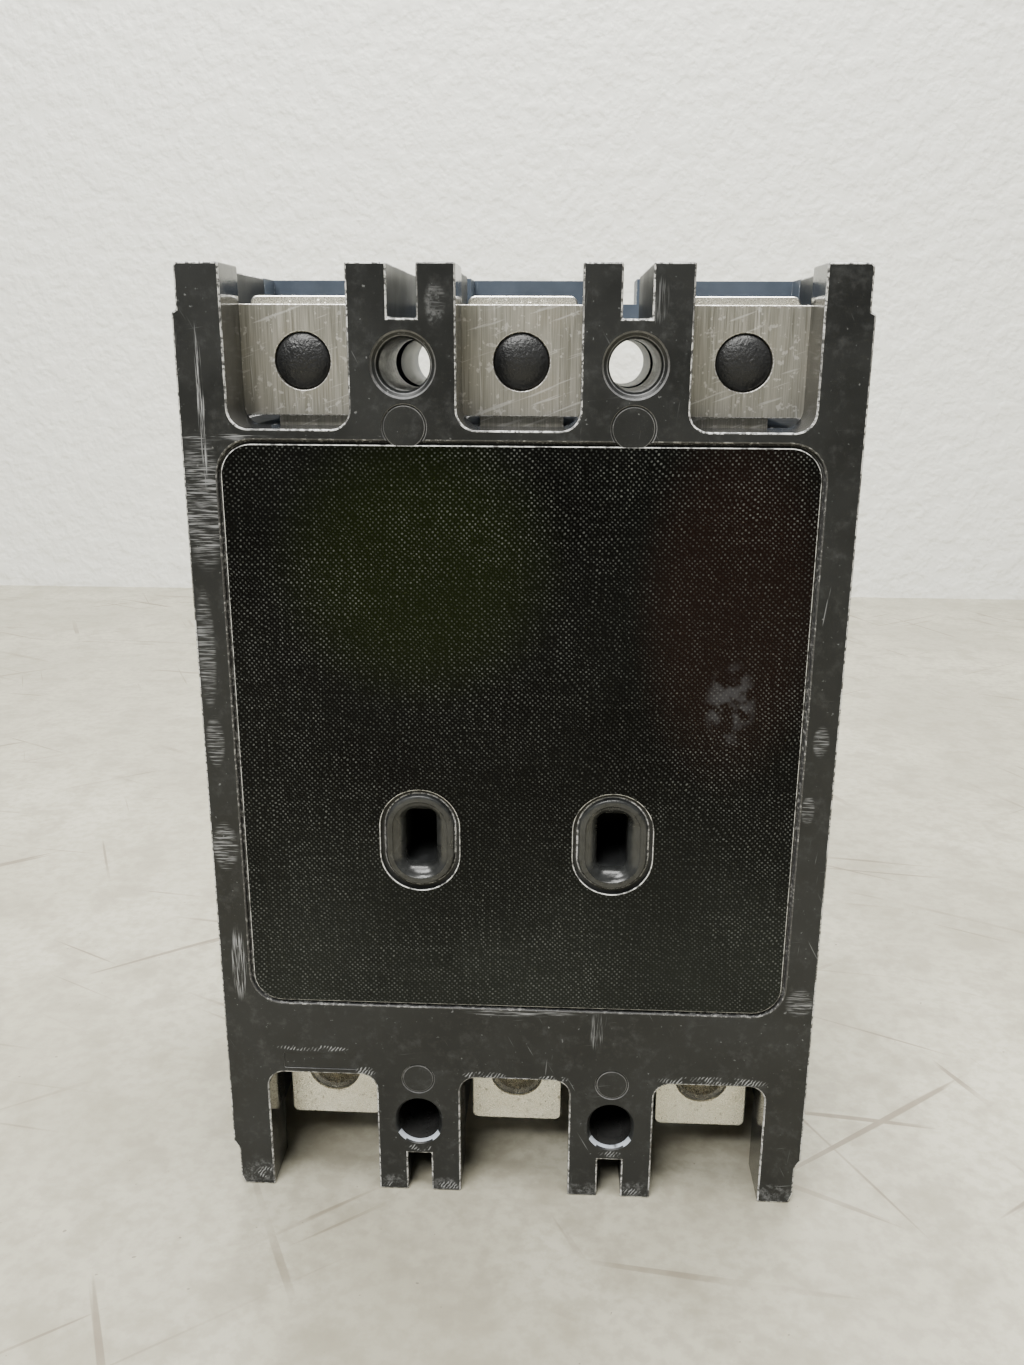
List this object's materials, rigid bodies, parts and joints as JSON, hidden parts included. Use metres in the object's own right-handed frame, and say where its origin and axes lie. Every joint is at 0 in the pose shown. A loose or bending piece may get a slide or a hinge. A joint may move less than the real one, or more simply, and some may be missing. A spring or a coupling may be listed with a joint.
{
  "type": "molded case breaker",
  "caption": "Multi-pole molded case circuit breaker with rear terminal windows, toggle handle, contacts, arc chutes and trip unit.",
  "frame": {"origin": "centre of the bounding box's underside: under the middle pole, on the load end's plane, half the overall depth in front of the back face", "axes": "+Z from the load end to the line end, +Y from the back mounting face to the handle, +X across the poles, so that the back faces -Y"},
  "size_m": [0.1046, 0.1082, 0.1633],
  "materials": {
    "case_black": "fine moulded thermoset, worn",
    "cover_blue_grey": "fine moulded thermoset",
    "laminate": "woven laminate, satin",
    "tinned_copper": "brushed, tin plated",
    "lug_plating": "cast, plated",
    "plug_black": "pebbled",
    "steel": "zinc plated",
    "copper": "bare copper",
    "fibre_red": "vulcanised fibre",
    "crossbar_plastic": "moulded",
    "handle_black": "moulded",
    "button_red": "moulded",
    "dial_cream": "moulded",
    "braid": "woven copper braid"
  },
  "bodies": {
    "case": {"base": "case_black", "insulating_sheet": "laminate", "front_cover": "cover_blue_grey", "accessory_cover": "case_black", "cover_screw_left_line": "steel", "cover_screw_left_load": "steel", "cover_screw_right_line": "steel", "cover_screw_right_load": "steel", "mechanism_frame": "steel", "line_terminal_a": "tinned_copper", "line_terminal_b": "tinned_copper", "line_terminal_c": "tinned_copper", "line_hole_plug_a": "plug_black", "line_hole_plug_b": "plug_black", "line_hole_plug_c": "plug_black", "line_lug_a": "lug_plating", "line_lug_b": "lug_plating", "line_lug_c": "lug_plating", "arc_chute_a": "fibre_red", "arc_chute_b": "fibre_red", "arc_chute_c": "fibre_red", "flexible_shunt_a": "braid", "flexible_shunt_b": "braid", "flexible_shunt_c": "braid", "load_terminal_a": "tinned_copper", "load_terminal_b": "tinned_copper", "load_terminal_c": "tinned_copper", "bimetal_a": "steel", "bimetal_b": "steel", "bimetal_c": "steel", "magnet_yoke_a": "steel", "magnet_yoke_b": "steel", "magnet_yoke_c": "steel", "load_lug_a": "lug_plating", "load_lug_b": "lug_plating", "load_lug_c": "lug_plating"},
    "contacts": {"crossbar": "crossbar_plastic", "contact_arm_a": "copper", "contact_arm_b": "copper", "contact_arm_c": "copper"},
    "handle": {"handle": "handle_black", "handle_yoke": "steel"},
    "springs": {"operating_spring_left": "steel", "operating_spring_right": "steel"},
    "cradle": {"cradle": "steel"},
    "upper_link": {"toggle_upper_link": "steel"},
    "lower_link": {"toggle_lower_link": "steel"},
    "latch": {"latch": "steel"},
    "trip_bar": {"trip_bar": "crossbar_plastic"},
    "trip_button": {"trip_button": "button_red"},
    "trip_dial": {"trip_dial": "dial_cream"},
    "armature_a": {"armature_a": "steel"},
    "armature_b": {"armature_b": "steel"},
    "armature_c": {"armature_c": "steel"},
    "line_lug_screw_a": {"line_lug_screw_a": "steel"},
    "line_lug_screw_b": {"line_lug_screw_b": "steel"},
    "line_lug_screw_c": {"line_lug_screw_c": "steel"},
    "load_lug_screw_a": {"load_lug_screw_a": "steel"},
    "load_lug_screw_b": {"load_lug_screw_b": "steel"},
    "load_lug_screw_c": {"load_lug_screw_c": "steel"}
  },
  "joints": [
    {"name": "handle_hinge", "type": "hinge", "parent": "case", "child": "handle", "pos_m": [0, -0.00406, 0.084], "axis": [1, 0, 0], "range_deg": [-4, 45]},
    {"name": "contacts_hinge", "type": "hinge", "parent": "case", "child": "contacts", "pos_m": [0, -0.02606, 0.088], "axis": [1, 0, 0], "range_deg": [-3.61, 40.05]},
    {"name": "spring_swing", "type": "hinge", "parent": "handle", "child": "springs", "pos_m": [0, 0.01774, 0.07497], "axis": [1, 0, 0], "range_deg": [-14.72, 1.35]},
    {"name": "upper_link_hinge", "type": "hinge", "parent": "cradle", "child": "upper_link", "pos_m": [0, -0.00006, 0.101], "axis": [1, 0, 0], "range_deg": [-28.19, 2.55]},
    {"name": "lower_link_hinge", "type": "hinge", "parent": "contacts", "child": "lower_link", "pos_m": [0, -0.01785, 0.09156], "axis": [1, 0, 0], "range_deg": [-42.21, 3.8]},
    {"name": "trip_bar_hinge", "type": "hinge", "parent": "case", "child": "trip_bar", "pos_m": [0, -0.00406, 0.068], "axis": [1, 0, 0], "range_deg": [0, 12], "stiffness_Nm_per_rad": 0.004, "springref_deg": -11.46},
    {"name": "latch_hinge", "type": "hinge", "parent": "case", "child": "latch", "pos_m": [0, 0.00794, 0.074], "axis": [1, 0, 0], "range_deg": [-20, 0]},
    {"name": "cradle_hinge", "type": "hinge", "parent": "case", "child": "cradle", "pos_m": [0, -0.00656, 0.1125], "axis": [1, 0, 0], "range_deg": [0, 8]},
    {"name": "armature_a_hinge", "type": "hinge", "parent": "case", "child": "armature_a", "pos_m": [-0.035, -0.01336, 0.0585], "axis": [1, 0, 0], "range_deg": [-12, 0], "stiffness_Nm_per_rad": 0.002, "springref_deg": 11.46},
    {"name": "armature_b_hinge", "type": "hinge", "parent": "case", "child": "armature_b", "pos_m": [0, -0.01336, 0.0585], "axis": [1, 0, 0], "range_deg": [-12, 0], "stiffness_Nm_per_rad": 0.002, "springref_deg": 11.46},
    {"name": "armature_c_hinge", "type": "hinge", "parent": "case", "child": "armature_c", "pos_m": [0.035, -0.01336, 0.0585], "axis": [1, 0, 0], "range_deg": [-12, 0], "stiffness_Nm_per_rad": 0.002, "springref_deg": 11.46},
    {"name": "trip_button_push", "type": "slide", "parent": "case", "child": "trip_button", "axis": [0, -1, 0], "range_m": [0, 0.003], "stiffness_N_per_m": 150, "springref_m": -0.002},
    {"name": "trip_dial_turn", "type": "hinge", "parent": "case", "child": "trip_dial", "pos_m": [-0.028, 0.02194, 0.062], "axis": [0, 1, 0], "range_deg": [-120, 120]},
    {"name": "line_lug_screw_a_travel", "type": "slide", "parent": "case", "child": "line_lug_screw_a", "axis": [0, -1, 0], "range_m": [0, 0.008]},
    {"name": "line_lug_screw_b_travel", "type": "slide", "parent": "case", "child": "line_lug_screw_b", "axis": [0, -1, 0], "range_m": [0, 0.008]},
    {"name": "line_lug_screw_c_travel", "type": "slide", "parent": "case", "child": "line_lug_screw_c", "axis": [0, -1, 0], "range_m": [0, 0.008]},
    {"name": "load_lug_screw_a_travel", "type": "slide", "parent": "case", "child": "load_lug_screw_a", "axis": [0, -1, 0], "range_m": [0, 0.008]},
    {"name": "load_lug_screw_b_travel", "type": "slide", "parent": "case", "child": "load_lug_screw_b", "axis": [0, -1, 0], "range_m": [0, 0.008]},
    {"name": "load_lug_screw_c_travel", "type": "slide", "parent": "case", "child": "load_lug_screw_c", "axis": [0, -1, 0], "range_m": [0, 0.008]}
  ],
  "couplings": [
    {"joint": "contacts_hinge", "follows": "handle_hinge", "ratio": 0.88889},
    {"joint": "spring_swing", "follows": "handle_hinge", "ratio": -0.32595},
    {"joint": "upper_link_hinge", "follows": "handle_hinge", "ratio": -0.62533},
    {"joint": "lower_link_hinge", "follows": "handle_hinge", "ratio": -0.93689},
    {"joint": "latch_hinge", "follows": "trip_bar_hinge", "ratio": -1.66},
    {"joint": "cradle_hinge", "follows": "trip_bar_hinge", "ratio": 0.66}
  ]
}
